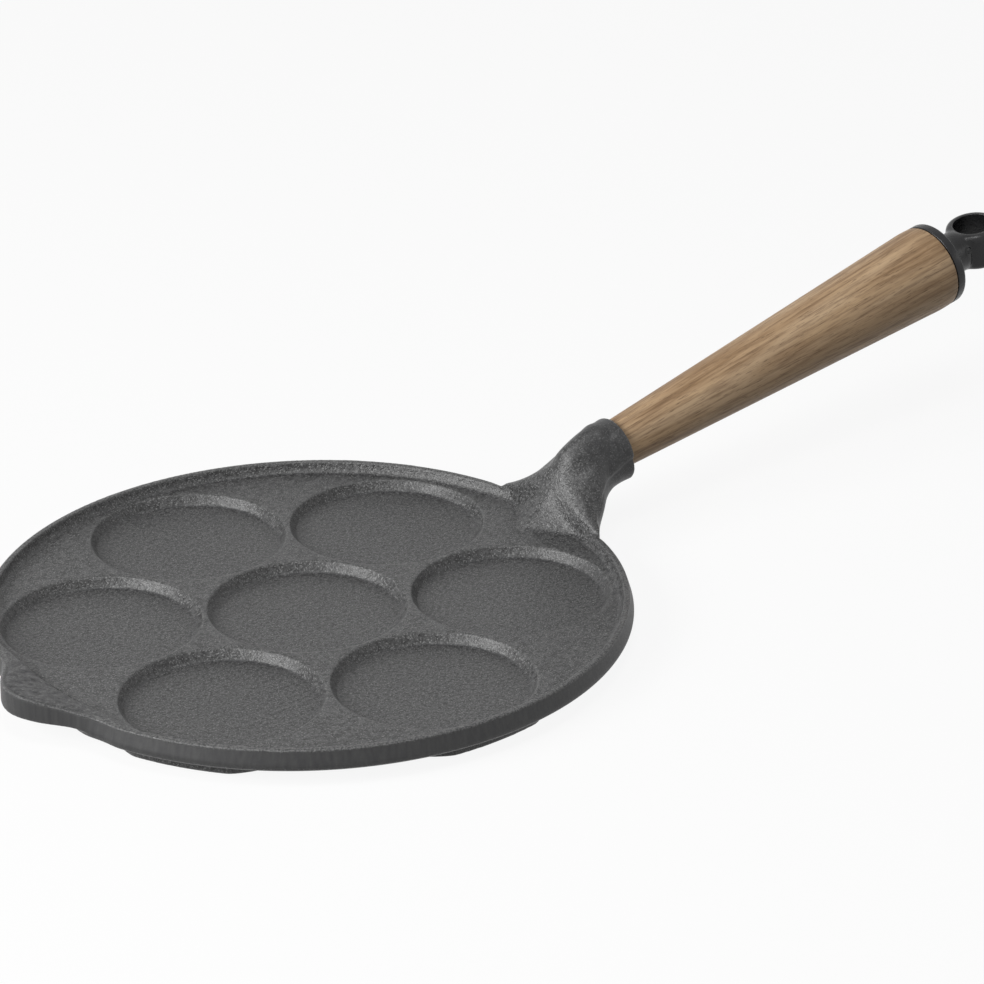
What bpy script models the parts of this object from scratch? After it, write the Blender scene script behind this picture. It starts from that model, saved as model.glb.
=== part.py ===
"""Pancake pan with seven round wells.

One iron casting carries the plate, the raised rim, the helper lip and the neck
with its handle socket. A tie rod, screwed into the socket, clamps a tapered
walnut grip, a washer and a hanging eye in line.

Metres, +Z up. The origin is the middle of the pan on the surface that it stands
on, and the handle runs along +X, rising at HANDLE_RISE.
"""
import math

import bmesh
import bpy
from mathutils import Vector

# Wells, one in the middle and six around it
WELL_COUNT = 6
WELL_FIRST_ANGLE = math.radians(30.0)
WELL_RADIUS = 0.03575
WELL_BRIDGE = 0.0019
WELL_WALL_RUN = 0.00275
WELL_DEPTH = 0.0046
WELL_EDGE_ROUND = 0.0007
WELL_FLOOR_ROUND = 0.0008

# Plate, and the round feet under the wells
PLATE_THICKNESS = 0.0046
FOOT_HEIGHT = 0.0051
FOOT_MARGIN = 0.0030
FOOT_INSET = 0.0058
FOOT_EDGE_BEVEL = 0.0005

# Rim and outer wall
RIM_LAND = 0.00585
RIM_RISE = 0.0038
RIM_TOP_WIDTH = 0.0023
RIM_COVE_RUN = 0.0025
RIM_EDGE_ROUND = 0.0004
WALL_BELLY = 0.0014
WALL_SHOULDER_DROP = 0.0024
WALL_DRAW_IN = 0.0011
NECK_RIM_DIP = 0.0008
NECK_RIM_DIP_HALF_WIDTH = 0.0620

# Helper lip, opposite the handle
LIP_REACH = 0.0112
LIP_HALF_WIDTH = 0.0285
LIP_LIFT = 0.0040
LIP_LIFT_HALF_WIDTH = 0.0328
LIP_DIP = 0.0009
LIP_DIP_PLACE = 0.0315
LIP_DIP_HALF_WIDTH = 0.0090
LIP_FOOT_INSET = 0.0107
LIP_FOOT_BOW = 0.0031
LIP_FOOT_HALF_WIDTH = 0.0444
LIP_SHOULDER_RUN = 0.0038
LIP_SHOULDER_RISE = 0.0034
LIP_SKIRT_DROP = 0.0006
LIP_SKIRT_HALF_WIDTH = 0.0440
LIP_UNDERSIDE_DROP = 0.0018
LIP_UNDERCUT = 0.0044

# Handle axis: where it would cross the pan's own axis, and how steeply it rises
HANDLE_AXIS_DROP = 0.00592
HANDLE_RISE = math.radians(10.41)

# Neck, from the toe of its ramp on the plate to the collar's face
NECK_TOE_INSET = 0.0178
NECK_RIM_INSET = 0.0034
NECK_FOOT_HALF_WIDTH = 0.0285
NECK_HUMP = 0.0121
NECK_ROOT = 0.0023
NECK_LENGTH = 0.0304
COLLAR_WALL = 0.00154
KEEL_DROP = 0.0022
COLLAR_EDGE_ROUND = 0.0006

# Socket in the collar
SOCKET_DEPTH = 0.0025
ROD_HOLE_DEPTH = 0.0250
DRILL_TIP = 0.0020

# Grip
GRIP_LENGTH = 0.1613
GRIP_FRONT_RADIUS = 0.00926
GRIP_TAPER_SHARE = 0.048
GRIP_BACK_RADIUS = 0.0166
GRIP_BACK_ROLL = 0.0090
GRIP_EDGE_ROUND = 0.0006

# Tie rod, washer and hanging eye
ROD_RADIUS = 0.0040
ROD_END_BEVEL = 0.0007
ROD_TIP_GAP = 0.0010
WASHER_THICKNESS = 0.0040
WASHER_EDGE_ROUND = 0.0012
EYE_HOLE_RADIUS = 0.0079
EYE_WALL = 0.0031
EYE_HALF_HEIGHT = 0.0077
EYE_EDGE_ROUND = 0.0026
EYE_STEM_LENGTH = 0.0092
EYE_STEM_BASE_RADIUS = 0.0103
EYE_STEM_RADIUS = 0.0083
EYE_FLARE_LENGTH = 0.0065
EYE_STEM_SINK = 0.0020
EYE_BORE_WALL = 0.0028

# Clearances
SEAT_GAP = 0.0003
CUT_OVERRUN = 0.0020

# How finely round shapes are divided
RIM_STEPS = 100
LIP_STEPS = 40
LIP_SWEEP = math.radians(28.0)
WELL_STEPS = 48
FOOT_STEPS = 36
TURNED_STEPS = 40
CORNER_STEPS = 3
COVE_STEPS = 3
HALF_SECTION_STEPS = 6

# Neck stations inside the rim: how far from the toe to the rim, how high the
# crest stands between plate and hump, and how wide the foot is
TOE_SHARES = (
    (0.00, 0.02, 0.02),
    (0.34, 0.13, 0.26),
    (0.60, 0.24, 0.46),
    (0.83, 0.38, 0.65),
)
# Neck stations from the rim to the waist before the collar: distance, crest,
# half width of the foot, edge height between plate and handle axis, underside
# height between the plate's underside and the keel, and roundness
RAMP_SHARES = (
    (0.00, 0.52, 1.00, 0.24, 0.20, 0.00),
    (0.08, 0.68, 0.92, 0.27, 0.22, 0.00),
    (0.16, 0.80, 0.80, 0.30, 0.27, 0.00),
    (0.23, 0.90, 0.72, 0.34, 0.42, 0.05),
    (0.38, 0.975, 0.59, 0.54, 0.81, 0.25),
    (0.49, 1.00, 0.48, 0.68, 0.96, 0.50),
    (0.62, 1.02, 0.385, 0.75, 1.01, 0.75),
)
# Barrel stations, up to the collar's face: distance, crest between plate and
# hump, half width of the collar's radius, and edge height
BARREL_SHARES = (
    (0.33, 1.02, 0.90, 0.87),
    (0.58, 1.00, 0.905, 0.95),
    (0.83, 0.985, 0.965, 1.00),
)
RIDGE_ROUND_SHARE = 0.16
RIM_SIDE_SHARE = 4.2
COLLAR_SIDE_SHARE = 2.5

# Sizes that follow from the ones above
WELL_SPACING = 2 * WELL_RADIUS + WELL_BRIDGE
WELL_FLOOR_RADIUS = WELL_RADIUS - WELL_WALL_RUN
FOOT_RADIUS = WELL_RADIUS + FOOT_MARGIN
PAN_RADIUS = WELL_SPACING + WELL_RADIUS + RIM_LAND
PLATE_TOP = FOOT_HEIGHT + PLATE_THICKNESS
RIM_TOP = PLATE_TOP + RIM_RISE
LIP_FOOT_DISTANCE = PAN_RADIUS - LIP_FOOT_INSET
AXIS_START = PLATE_TOP - HANDLE_AXIS_DROP
COLLAR_DISTANCE = PAN_RADIUS + NECK_LENGTH
COLLAR_RADIUS = GRIP_FRONT_RADIUS + SEAT_GAP + COLLAR_WALL
COLLAR_KEEL = COLLAR_RADIUS + KEEL_DROP
GRIP_END_DISTANCE = COLLAR_DISTANCE + GRIP_LENGTH
BORE_RADIUS = ROD_RADIUS + SEAT_GAP
WASHER_RADIUS = GRIP_BACK_RADIUS
WASHER_START = GRIP_END_DISTANCE + SEAT_GAP
EYE_START = WASHER_START + WASHER_THICKNESS + SEAT_GAP
EYE_OUTER_RADIUS = EYE_HOLE_RADIUS + EYE_WALL
EYE_RING_OFFSET = EYE_STEM_LENGTH + EYE_OUTER_RADIUS
EYE_BORE_DEPTH = EYE_RING_OFFSET - EYE_HOLE_RADIUS - EYE_BORE_WALL


def clear_scene():
    for item in list(bpy.data.objects):
        bpy.data.objects.remove(item, do_unlink=True)


def make_material(name, colour, metallic, roughness):
    material = bpy.data.materials.new(name)
    material.use_nodes = True
    shader = material.node_tree.nodes["Principled BSDF"]
    shader.inputs["Base Color"].default_value = (*colour, 1.0)
    shader.inputs["Metallic"].default_value = metallic
    shader.inputs["Roughness"].default_value = roughness
    return material


def make_object(name, mesh_maker, material=None):
    """Turn the bmesh that mesh_maker fills into a smooth-shaded object."""
    shape = bmesh.new()
    mesh_maker(shape)
    bmesh.ops.recalc_face_normals(shape, faces=shape.faces[:])
    mesh = bpy.data.meshes.new(name)
    shape.to_mesh(mesh)
    shape.free()
    mesh.shade_smooth()
    mesh.set_sharp_from_angle(angle=math.radians(35.0))
    item = bpy.data.objects.new(name, mesh)
    bpy.context.collection.objects.link(item)
    if material:
        mesh.materials.append(material)
    return item


def make_cutter(name, mesh_maker):
    cutter = make_object(name, mesh_maker)
    cutter.hide_render = True
    cutter.display_type = "WIRE"
    return cutter


def add_boolean(item, tool, operation, overlapping=False):
    """Cut or join with a tool, whose own shapes may overlap each other."""
    change = item.modifiers.new(tool.name, "BOOLEAN")
    change.object = tool
    change.operation = operation
    change.solver = "EXACT"
    change.use_self = overlapping


def mix(start, end, share):
    return start + (end - start) * share


def bump(place, half_width):
    """A smooth hump: 1 at the middle, 0 from half_width outwards."""
    if abs(place) >= half_width:
        return 0.0
    return math.cos(math.pi / 2 * place / half_width) ** 2


def arc(centre, radius, start, end, steps):
    """Points on a circle's arc in a profile plane, angles in degrees."""
    points = []
    for step in range(steps + 1):
        angle = math.radians(mix(start, end, step / steps))
        points.append((centre[0] + radius * math.cos(angle), centre[1] + radius * math.sin(angle)))
    return points


def join_rings(shape, rings, closed):
    """Skin a list of equal rings. Their ends are capped, or joined if closed."""
    rows = [[shape.verts.new(point) for point in ring] for ring in rings]
    count = len(rows[0])
    pairs = list(zip(rows, rows[1:]))
    if closed:
        pairs.append((rows[-1], rows[0]))
    for lower, upper in pairs:
        for step in range(count):
            after = (step + 1) % count
            shape.faces.new((lower[step], lower[after], upper[after], upper[step]))
    if not closed:
        shape.faces.new(rows[0])
        shape.faces.new(rows[-1])


def turned(shape, profile, steps, closed=False, upright=True, centre=(0.0, 0.0)):
    """Turn a profile of (radius, height) pairs about Z, or about X if not upright."""
    rings = []
    for radius, height in profile:
        ring = []
        for step in range(steps):
            angle = math.tau * step / steps
            across = radius * math.cos(angle)
            beside = radius * math.sin(angle)
            if upright:
                ring.append(Vector((centre[0] + across, centre[1] + beside, height)))
            else:
                ring.append(Vector((height, across, beside)))
        rings.append(ring)
    join_rings(shape, rings, closed)


def rim_angles():
    """Angles around the pan, closer together along the helper lip."""
    angles = [math.pi + mix(-LIP_SWEEP, LIP_SWEEP, step / LIP_STEPS) for step in range(LIP_STEPS)]
    rest = math.tau - 2 * LIP_SWEEP
    start = math.pi + LIP_SWEEP
    angles += [start + rest * step / RIM_STEPS for step in range(RIM_STEPS)]
    return angles


def lip_foot_radius(turn):
    """Where the plate ends towards the lip, at an angle from the lip's middle."""
    round_foot = PAN_RADIUS - RIM_TOP_WIDTH - RIM_COVE_RUN
    if math.cos(turn) <= 0.0:
        return round_foot
    side = LIP_FOOT_DISTANCE * math.tan(turn)
    chord = LIP_FOOT_DISTANCE - LIP_FOOT_BOW * (side / LIP_FOOT_HALF_WIDTH) ** 2
    if abs(side) > 2 * LIP_FOOT_HALF_WIDTH:
        return round_foot
    return min(round_foot, chord / math.cos(turn))


def rim_profile(angle):
    """Section of the pan's edge at one angle: (radius, height) from plate to underside."""
    turn = math.remainder(angle - math.pi, math.tau)
    place = PAN_RADIUS * math.sin(turn) if math.cos(turn) > 0.0 else PAN_RADIUS
    reach = LIP_REACH * bump(place, LIP_HALF_WIDTH)
    dip = LIP_DIP * bump(abs(place) - LIP_DIP_PLACE, LIP_DIP_HALF_WIDTH)
    rise = bump(place, LIP_LIFT_HALF_WIDTH)
    skirt = bump(place, LIP_SKIRT_HALF_WIDTH)
    near_neck = bump(PAN_RADIUS * math.sin(turn), NECK_RIM_DIP_HALF_WIDTH) if math.cos(turn) < 0.0 else 0.0
    foot = lip_foot_radius(turn)
    outer = PAN_RADIUS + reach - dip
    top = RIM_TOP + LIP_LIFT * rise - NECK_RIM_DIP * near_neck
    cove_run = mix(RIM_COVE_RUN, LIP_SHOULDER_RUN, rise)
    cove_rise = mix(RIM_RISE, LIP_SHOULDER_RISE, rise) - NECK_RIM_DIP * near_neck
    belly = WALL_BELLY * (1 - skirt)
    wall = PAN_RADIUS - dip - LIP_UNDERCUT * rise
    shoulder = PLATE_TOP - mix(WALL_SHOULDER_DROP, LIP_UNDERSIDE_DROP, skirt)
    profile = []
    for step in range(COVE_STEPS + 1):
        share = step / COVE_STEPS
        profile.append((foot + cove_run * share, PLATE_TOP + cove_rise * mix(share, share ** 2, 1 - rise)))
    profile.append((outer - RIM_EDGE_ROUND, top))
    profile.append((outer, top - RIM_EDGE_ROUND))
    profile.append((outer + belly, PLATE_TOP - mix(WALL_SHOULDER_DROP / 2, LIP_SKIRT_DROP, skirt)))
    profile.append((wall + belly, shoulder))
    profile.append((wall + belly / 2, mix(shoulder, FOOT_HEIGHT, 0.5)))
    profile.append((wall - WALL_DRAW_IN, FOOT_HEIGHT))
    return profile


def fill_disc(shape):
    angles = rim_angles()
    columns = [rim_profile(angle) for angle in angles]
    rings = []
    for row in range(len(columns[0])):
        ring = []
        for angle, column in zip(angles, columns):
            radius, height = column[row]
            ring.append(Vector((radius * math.cos(angle), radius * math.sin(angle), height)))
        rings.append(ring)
    join_rings(shape, rings, closed=False)


def well_places():
    places = [(0.0, 0.0)]
    for number in range(WELL_COUNT):
        angle = WELL_FIRST_ANGLE + math.tau * number / WELL_COUNT
        places.append((WELL_SPACING * math.cos(angle), WELL_SPACING * math.sin(angle)))
    return places


def foot_edge(centre, angle):
    """Distance from a foot's middle to its edge, which keeps inside a circle about the pan."""
    away = math.hypot(*centre)
    turn = angle - math.atan2(centre[1], centre[0])
    limit = PAN_RADIUS - FOOT_INSET
    inside = math.sqrt(limit ** 2 - (away * math.sin(turn)) ** 2) - away * math.cos(turn)
    return min(FOOT_RADIUS, inside)


def fill_feet(shape):
    heights = (
        (FOOT_EDGE_BEVEL, 0.0),
        (0.0, FOOT_EDGE_BEVEL),
        (0.0, mix(FOOT_HEIGHT, PLATE_TOP, 0.5)),
    )
    for centre in well_places():
        rings = []
        for inset, height in heights:
            ring = []
            for step in range(FOOT_STEPS):
                angle = math.tau * step / FOOT_STEPS
                radius = foot_edge(centre, angle) - inset
                place = (centre[0] + radius * math.cos(angle), centre[1] + radius * math.sin(angle), height)
                ring.append(Vector(place))
            rings.append(ring)
        join_rings(shape, rings, closed=False)


def fill_wells(shape):
    floor = PLATE_TOP - WELL_DEPTH
    profile = [
        (WELL_FLOOR_RADIUS - WELL_FLOOR_ROUND, floor),
        (WELL_FLOOR_RADIUS, floor + WELL_FLOOR_ROUND / 2),
        (WELL_RADIUS - WELL_EDGE_ROUND / 3, PLATE_TOP - WELL_EDGE_ROUND),
        (WELL_RADIUS, PLATE_TOP - WELL_EDGE_ROUND / 3),
        (WELL_RADIUS + WELL_EDGE_ROUND / 2, PLATE_TOP),
        (WELL_RADIUS + WELL_EDGE_ROUND / 2, PLATE_TOP + CUT_OVERRUN),
    ]
    for place in well_places():
        turned(shape, profile, WELL_STEPS, centre=place)


def neck_section(base, tilt, crest, half_width, edge, bottom, roundness):
    """One ring of the neck, across the handle.

    Heights are measured from the handle's axis, up a line that leans back by tilt.
    """
    def place(side, height):
        along = base * math.cos(HANDLE_RISE)
        axis_height = AXIS_START + base * math.sin(HANDLE_RISE)
        return Vector((along - height * math.sin(tilt), side, axis_height + height * math.cos(tilt)))

    power = mix(RIM_SIDE_SHARE, COLLAR_SIDE_SHARE, roundness)
    ridge = RIDGE_ROUND_SHARE
    upper = []
    lower = []
    for step in range(HALF_SECTION_STEPS + 1):
        turn = math.pi / 2 * step / HALF_SECTION_STEPS
        share = math.sin(turn)
        roof = (math.hypot(share, ridge) - ridge) / (math.hypot(1, ridge) - ridge)
        fall = mix(roof, 1 - math.cos(turn), roundness)
        upper.append((half_width * share, mix(crest, edge, fall)))
        side = math.cos(turn) ** (2 / power)
        drop = math.sin(turn) ** (2 / power)
        lower.append((half_width * side, mix(edge, bottom, drop)))
    lower[-1] = (0.0, bottom)
    right = upper + lower[1:]
    left = [(-side, height) for side, height in reversed(right[1:-1])]
    return [place(side, height) for side, height in right + left]


def level_above_axis(height, base, tilt):
    """How far a world height lies above the handle's axis, along the leaning line."""
    return (height - AXIS_START - base * math.sin(HANDLE_RISE)) / math.cos(tilt)


def neck_stations():
    """The neck's sizes at each station, from its toe on the plate to the collar's face."""
    toe = (PAN_RADIUS - NECK_TOE_INSET) / math.cos(HANDLE_RISE)
    rim = (PAN_RADIUS - NECK_RIM_INSET) / math.cos(HANDLE_RISE)
    stations = []
    for run, crest, width in TOE_SHARES:
        base = mix(toe, rim, run)
        plate = level_above_axis(PLATE_TOP, base, 0.0)
        stations.append((base, 0.0, mix(plate, NECK_HUMP, crest), NECK_FOOT_HALF_WIDTH * width,
                         plate - NECK_ROOT / 4, plate - NECK_ROOT, 0.0))
    for run, crest, width, rise, under, roundness in RAMP_SHARES:
        base = mix(rim, COLLAR_DISTANCE, run)
        tilt = HANDLE_RISE * roundness
        plate = level_above_axis(PLATE_TOP, base, tilt)
        underside = level_above_axis(FOOT_HEIGHT, base, tilt)
        stations.append((base, tilt, mix(plate, NECK_HUMP, crest), NECK_FOOT_HALF_WIDTH * width,
                         mix(plate, 0.0, rise), mix(underside, -COLLAR_KEEL, under), roundness))
    waist = stations[-1][0]
    for run, crest, width, rise in BARREL_SHARES:
        base = mix(waist, COLLAR_DISTANCE, run)
        plate = level_above_axis(PLATE_TOP, base, HANDLE_RISE)
        stations.append((base, HANDLE_RISE, mix(plate, NECK_HUMP, crest), COLLAR_RADIUS * width,
                         mix(plate, 0.0, rise), -COLLAR_KEEL, 1.0))
    edge = COLLAR_EDGE_ROUND
    stations.append((COLLAR_DISTANCE - edge, HANDLE_RISE, COLLAR_RADIUS + edge / 2, COLLAR_RADIUS, 0.0,
                     -COLLAR_KEEL, 1.0))
    stations.append((COLLAR_DISTANCE, HANDLE_RISE, COLLAR_RADIUS, COLLAR_RADIUS - edge / 2, 0.0,
                     edge - COLLAR_KEEL, 1.0))
    return stations


def fill_neck(shape):
    join_rings(shape, [neck_section(*station) for station in neck_stations()], closed=False)


def fill_socket(shape):
    """The grip's seat and the tie rod's hole, from beyond the collar's face inwards."""
    seat = COLLAR_DISTANCE - SOCKET_DEPTH
    bottom = COLLAR_DISTANCE - ROD_HOLE_DEPTH
    profile = [
        (GRIP_FRONT_RADIUS + SEAT_GAP, COLLAR_DISTANCE + CUT_OVERRUN),
        (GRIP_FRONT_RADIUS + SEAT_GAP, seat),
        (BORE_RADIUS, seat),
        (BORE_RADIUS, bottom),
        (BORE_RADIUS / 4, bottom - DRILL_TIP),
    ]
    turned(shape, profile, TURNED_STEPS, upright=False)


def make_casting(material, handle):
    casting = make_object("pan_casting", fill_disc, material)
    add_boolean(casting, make_cutter("feet_tool", fill_feet), "UNION", overlapping=True)
    add_boolean(casting, make_cutter("neck_tool", fill_neck), "UNION")
    add_boolean(casting, make_cutter("wells_tool", fill_wells), "DIFFERENCE")
    socket = make_cutter("socket_tool", fill_socket)
    socket.parent = handle
    add_boolean(casting, socket, "DIFFERENCE")
    return casting


def grip_radius(distance):
    return GRIP_FRONT_RADIUS + GRIP_TAPER_SHARE * (distance - COLLAR_DISTANCE)


def fill_grip(shape):
    """Profile of (radius, distance from the socket's seat), bore included."""
    start = COLLAR_DISTANCE - SOCKET_DEPTH + SEAT_GAP
    end = GRIP_END_DISTANCE
    roll = end - GRIP_BACK_ROLL
    crown = mix(grip_radius(roll), GRIP_BACK_RADIUS, 0.5)
    edge = GRIP_EDGE_ROUND
    profile = [
        (BORE_RADIUS, start),
        (grip_radius(start) - edge, start),
        (grip_radius(start), start + edge),
        (grip_radius(mix(start, roll, 0.5)), mix(start, roll, 0.5)),
        (grip_radius(roll), roll),
        (max(crown, grip_radius(roll)) + edge / 2, mix(roll, end, 0.5)),
        (GRIP_BACK_RADIUS, end - edge),
        (GRIP_BACK_RADIUS - edge, end),
        (BORE_RADIUS, end),
    ]
    section = [(radius, place - start) for radius, place in profile]
    turned(shape, section, TURNED_STEPS, closed=True, upright=False)


def rod_ends():
    start = COLLAR_DISTANCE - ROD_HOLE_DEPTH + ROD_TIP_GAP
    end = EYE_START + EYE_BORE_DEPTH - ROD_TIP_GAP
    return start, end


def fill_rod(shape):
    start, end = rod_ends()
    length = end - start
    profile = [
        (ROD_RADIUS - ROD_END_BEVEL, 0.0),
        (ROD_RADIUS, ROD_END_BEVEL),
        (ROD_RADIUS, length - ROD_END_BEVEL),
        (ROD_RADIUS - ROD_END_BEVEL, length),
    ]
    turned(shape, profile, TURNED_STEPS, upright=False)


def fill_washer(shape):
    edge = WASHER_EDGE_ROUND
    profile = [(BORE_RADIUS, 0.0), (WASHER_RADIUS - edge / 3, 0.0), (WASHER_RADIUS, edge / 3)]
    corner = arc((WASHER_RADIUS - edge, WASHER_THICKNESS - edge), edge, 0.0, 90.0, CORNER_STEPS)
    profile += corner
    profile.append((BORE_RADIUS, WASHER_THICKNESS))
    turned(shape, profile, TURNED_STEPS, closed=True, upright=False)


def fill_eye_ring(shape):
    """The ring, turned about its own hole, then moved out along the handle."""
    edge = EYE_EDGE_ROUND
    top = EYE_HALF_HEIGHT
    chamfer = EYE_WALL - edge
    profile = [(EYE_HOLE_RADIUS, chamfer - top), (EYE_HOLE_RADIUS, top - chamfer)]
    profile += arc((EYE_OUTER_RADIUS - edge, top - edge), edge, 90.0, 0.0, CORNER_STEPS)
    profile += arc((EYE_OUTER_RADIUS - edge, edge - top), edge, 0.0, -90.0, CORNER_STEPS)
    turned(shape, profile, TURNED_STEPS, closed=True)
    bmesh.ops.translate(shape, verts=shape.verts[:], vec=Vector((EYE_RING_OFFSET, 0.0, 0.0)))


def fill_eye_stem(shape):
    """The flared stem between the washer and the ring."""
    end = EYE_STEM_LENGTH + EYE_STEM_SINK
    profile = [(EYE_STEM_BASE_RADIUS, 0.0)]
    for step in range(1, CORNER_STEPS + 1):
        share = step / CORNER_STEPS
        radius = mix(EYE_STEM_RADIUS, EYE_STEM_BASE_RADIUS, (1 - share) ** 2)
        profile.append((radius, EYE_FLARE_LENGTH * share))
    profile.append((EYE_STEM_RADIUS, end))
    turned(shape, profile, TURNED_STEPS, upright=False)


def fill_eye_bore(shape):
    profile = [(BORE_RADIUS, -CUT_OVERRUN), (BORE_RADIUS, EYE_BORE_DEPTH)]
    turned(shape, profile, TURNED_STEPS, upright=False)


def make_eye(material, handle):
    eye = make_object("hanging_eye", fill_eye_ring, material)
    place_on_axis(eye, handle, EYE_START)
    stem = make_cutter("eye_stem_tool", fill_eye_stem)
    bore = make_cutter("eye_bore_tool", fill_eye_bore)
    place_on_axis(stem, handle, EYE_START)
    place_on_axis(bore, handle, EYE_START)
    add_boolean(eye, stem, "UNION")
    add_boolean(eye, bore, "DIFFERENCE")
    return eye


def make_handle_axis():
    """An empty on the handle's axis, with its X along the handle."""
    handle = bpy.data.objects.new("handle_axis", None)
    bpy.context.collection.objects.link(handle)
    handle.location = (0.0, 0.0, AXIS_START)
    handle.rotation_euler = (0.0, -HANDLE_RISE, 0.0)
    return handle


def place_on_axis(item, handle, distance):
    item.parent = handle
    item.location = (distance, 0.0, 0.0)


def main():
    clear_scene()
    iron = make_material("seasoned_cast_iron", (0.09, 0.09, 0.091), 0.35, 0.58)
    black = make_material("black_iron", (0.022, 0.022, 0.023), 0.3, 0.42)
    walnut = make_material("oiled_walnut", (0.30, 0.155, 0.075), 0.0, 0.50)
    steel = make_material("zinc_plated_steel", (0.55, 0.56, 0.58), 0.95, 0.35)
    handle = make_handle_axis()
    make_casting(iron, handle)
    grip = make_object("wood_grip", fill_grip, walnut)
    place_on_axis(grip, handle, COLLAR_DISTANCE - SOCKET_DEPTH + SEAT_GAP)
    rod = make_object("tie_rod", fill_rod, steel)
    place_on_axis(rod, handle, rod_ends()[0])
    washer = make_object("end_washer", fill_washer, black)
    place_on_axis(washer, handle, WASHER_START)
    make_eye(black, handle)
    bpy.context.view_layer.update()


main()
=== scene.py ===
"""Looks of the pancake pan: fine meshes, finishes, light and camera.

Metres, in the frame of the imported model: +X runs along the handle, +Z is up and
the pan stands on z = 0.
"""
import math

import bmesh
import bpy
import numpy as np
from mathutils import Matrix, Vector, noise


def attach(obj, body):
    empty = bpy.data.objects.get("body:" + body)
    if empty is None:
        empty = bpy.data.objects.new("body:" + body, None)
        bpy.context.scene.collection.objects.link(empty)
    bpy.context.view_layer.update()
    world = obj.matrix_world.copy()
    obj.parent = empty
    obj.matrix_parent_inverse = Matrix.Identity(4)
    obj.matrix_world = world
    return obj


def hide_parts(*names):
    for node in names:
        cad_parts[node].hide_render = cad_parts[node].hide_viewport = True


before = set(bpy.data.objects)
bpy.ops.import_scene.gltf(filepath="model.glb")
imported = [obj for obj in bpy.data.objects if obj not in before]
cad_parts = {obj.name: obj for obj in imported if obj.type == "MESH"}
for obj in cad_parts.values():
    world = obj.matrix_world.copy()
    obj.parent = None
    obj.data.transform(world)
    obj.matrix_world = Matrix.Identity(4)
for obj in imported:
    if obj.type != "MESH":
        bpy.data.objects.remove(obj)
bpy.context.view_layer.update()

MM = 0.001

# Plate, rim and wells
PAN_RADIUS = 0.1150
PLATE_THICKNESS = 0.0046
FOOT_HEIGHT = 0.0051
RIM_RISE = 0.0038
RIM_TOP_WIDTH = 0.0023
RIM_COVE_RUN = 0.0025
RIM_EDGE_ROUND = 0.0004
WALL_SHOULDER_DROP = 0.0024
WALL_BELLY = 0.00137
WALL_DRAW_IN = 0.0011
NECK_RIM_DIP = 0.0008
NECK_RIM_DIP_HALF_WIDTH = 0.0620
WELL_COUNT = 6
WELL_SPACING = 0.0734
WELL_FIRST_ANGLE = math.radians(30.0)
WELL_RADIUS = 0.03575
WELL_FLOOR_RADIUS = 0.0330
WELL_DEPTH = 0.0046
WELL_EDGE_ROUND = 0.0007
WELL_FLOOR_ROUND = 0.0008
FOOT_RADIUS = 0.03875
FOOT_INSET = 0.0058
FOOT_EDGE_BEVEL = 0.0005

# Helper lip
LIP_REACH = 0.0112
LIP_HALF_WIDTH = 0.0285
LIP_LIFT = 0.0040
LIP_LIFT_HALF_WIDTH = 0.0328
LIP_DIP = 0.0009
LIP_DIP_PLACE = 0.0315
LIP_DIP_HALF_WIDTH = 0.0090
LIP_FOOT_DISTANCE = 0.1043
LIP_FOOT_BOW = 0.0031
LIP_FOOT_HALF_WIDTH = 0.0444
LIP_SHOULDER_RUN = 0.0038
LIP_SHOULDER_RISE = 0.0034
LIP_SKIRT_DROP = 0.0006
LIP_SKIRT_HALF_WIDTH = 0.0440
LIP_UNDERSIDE_DROP = 0.0018
LIP_UNDERCUT = 0.0044

# Handle axis and neck
HANDLE_AXIS_DROP = 0.00592
HANDLE_RISE = math.radians(10.41)
NECK_TOE_INSET = 0.0178
NECK_RIM_INSET = 0.0034
NECK_FOOT_HALF_WIDTH = 0.0285
NECK_HUMP = 0.0121
NECK_ROOT = 0.0023
COLLAR_DISTANCE = 0.1454
COLLAR_RADIUS = 0.0111
COLLAR_KEEL = 0.0133
COLLAR_EDGE_ROUND = 0.0006
SOCKET_DEPTH = 0.0025
ROD_HOLE_DEPTH = 0.0250

# Grip, rod, washer and eye
GRIP_END_DISTANCE = 0.3067
GRIP_FRONT_RADIUS = 0.00926
GRIP_TAPER_SHARE = 0.048
GRIP_BACK_RADIUS = 0.0166
GRIP_BACK_ROLL = 0.0090
GRIP_EDGE_ROUND = 0.0006
ROD_RADIUS = 0.0040
ROD_TIP_GAP = 0.0010
THREAD_PITCH = 0.00125
THREAD_DEPTH = 0.00065
THREAD_LENGTHS = (20 * MM, 26 * MM)
WASHER_RADIUS = 0.0166
WASHER_THICKNESS = 0.0040
WASHER_EDGE_ROUND = 0.0012
EYE_RING_OFFSET = 0.0202
EYE_OUTER_RADIUS = 0.01097
EYE_HOLE_RADIUS = 0.0079
EYE_HALF_HEIGHT = 0.00768
EYE_EDGE_ROUND = 0.0026
EYE_STEM_LENGTH = 0.0092
EYE_STEM_BASE_RADIUS = 0.0103
EYE_STEM_RADIUS = 0.0083
EYE_FLARE_LENGTH = 0.0065
EYE_STEM_SINK = 0.0020
EYE_BORE_DEPTH = 0.0095
SEAT_GAP = 0.0003
CUT_OVERRUN = 0.0020

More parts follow.
